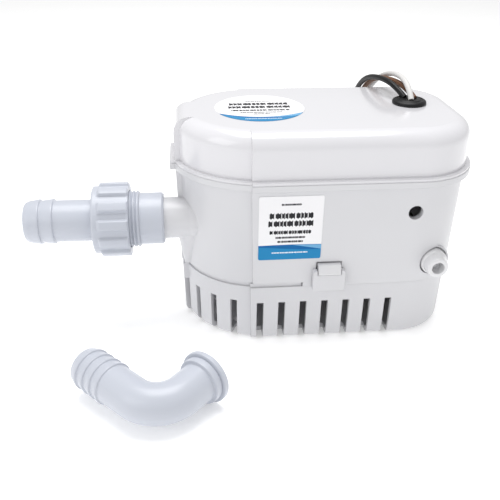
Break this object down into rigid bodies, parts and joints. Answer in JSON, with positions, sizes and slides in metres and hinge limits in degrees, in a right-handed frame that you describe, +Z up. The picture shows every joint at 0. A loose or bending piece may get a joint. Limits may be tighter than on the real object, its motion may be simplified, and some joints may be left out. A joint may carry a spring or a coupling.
{
  "type": "bilge pump",
  "caption": "Automatic submersible bilge pump: slotted strainer base, motor and float housing, side outlet with union and barbed hose tail, supply wires and a loose spare elbow tail.",
  "frame": {"origin": "on the motor shaft's axis, on the plane that the strainer base stands on", "axes": "+Z up along the motor shaft, +X from the motor towards the float chamber and the cable grommet, so that the outlet points along -X; the labelled side faces -Y"},
  "size_m": [0.1982, 0.202, 0.11],
  "materials": {
    "white_abs": "glossy moulded plastic",
    "pale_fitting": "satin moulded plastic, pale grey-lavender",
    "black_rubber": "matt rubber",
    "grey_rubber": "matt rubber",
    "steel": "brushed stainless steel",
    "plated_can": "zinc-plated steel",
    "magnet": "ferrite",
    "copper": "copper",
    "carbon": "carbon",
    "bronze": "sintered bronze",
    "blue_nylon": "satin moulded plastic",
    "float_foam": "closed foam",
    "board": "lacquered laminate",
    "relay_black": "satin moulded plastic",
    "clear_glass": "clear glass",
    "wire_black": "satin insulation",
    "wire_brown": "satin insulation",
    "wire_white": "satin insulation",
    "label": "gloss printed film",
    "tie": "nylon"
  },
  "bodies": {
    "strainer": {"strainer_base": "white_abs"},
    "latch_tab_front": {"latch_front": "white_abs"},
    "latch_tab_back": {"latch_back": "white_abs"},
    "housing": {"body_housing": "white_abs", "top_cover": "white_abs", "cover_gasket": "grey_rubber", "cable_grommet": "black_rubber", "motor_can": "plated_can", "motor_end_bell": "relay_black", "motor_magnets": "magnet", "brushes": "carbon", "bearing_lower": "bronze", "bearing_upper": "bronze", "shaft_seal": "black_rubber", "volute_casing": "white_abs", "volute_screws": "steel", "switch_board": "board", "switch_relay": "relay_black", "reed_switch": "clear_glass", "motor_leads": "wire_black", "supply_leads": "wire_brown", "union_collar": "pale_fitting", "check_valve_pin": "steel", "union_washer": "black_rubber", "hose_tail": "pale_fitting", "side_label": "label", "top_label": "label", "wire_black": "wire_black", "wire_brown": "wire_brown", "wire_white": "wire_white", "coil_black": "wire_black", "coil_brown": "wire_brown", "coil_white": "wire_white", "wire_tips": "copper", "wire_tie": "tie"},
    "rotor": {"motor_shaft": "steel", "armature_core": "plated_can", "armature_windings": "copper", "commutator": "copper", "impeller": "blue_nylon", "impeller_clip": "steel"},
    "float": {"float_block": "float_foam", "float_magnet": "magnet", "float_shaft": "white_abs", "test_knob": "white_abs"},
    "flap": {"check_valve_flap": "black_rubber"},
    "nut": {"union_nut": "pale_fitting"},
    "spare_elbow": {"elbow_tail": "pale_fitting"}
  },
  "joints": [
    {"name": "housing_lift", "type": "slide", "parent": "strainer", "child": "housing", "axis": [0, 0, 1], "range_m": [0, 0.045]},
    {"name": "latch_front_press", "type": "hinge", "parent": "strainer", "child": "latch_tab_front", "pos_m": [0.02765, -0.0388, 0.0297], "axis": [1, 0, 0], "range_deg": [-5, 0], "stiffness_Nm_per_rad": 0.05},
    {"name": "latch_back_press", "type": "hinge", "parent": "strainer", "child": "latch_tab_back", "pos_m": [0.02765, 0.0388, 0.0297], "axis": [1, 0, 0], "range_deg": [0, 5], "stiffness_Nm_per_rad": 0.05},
    {"name": "rotor_spin", "type": "hinge", "parent": "housing", "child": "rotor", "pos_m": [0, 0, 0.05], "axis": [0, 0, 1], "continuous": true},
    {"name": "float_lift", "type": "hinge", "parent": "housing", "child": "float", "pos_m": [0.0758, 0, 0.038], "axis": [0, 1, 0], "range_deg": [0, 28]},
    {"name": "check_valve_swing", "type": "hinge", "parent": "housing", "child": "flap", "pos_m": [-0.0539, -0.0133, 0.0608], "axis": [0, 1, 0], "range_deg": [0, 55]},
    {"name": "union_nut_turn", "type": "hinge", "parent": "housing", "child": "nut", "pos_m": [-0.067, -0.0133, 0.0532], "axis": [1, 0, 0], "continuous": true},
    {"name": "elbow_lift", "type": "slide", "parent": "strainer", "child": "spare_elbow", "axis": [0, 0, 1], "range_m": [0, 0.04]}
  ]
}
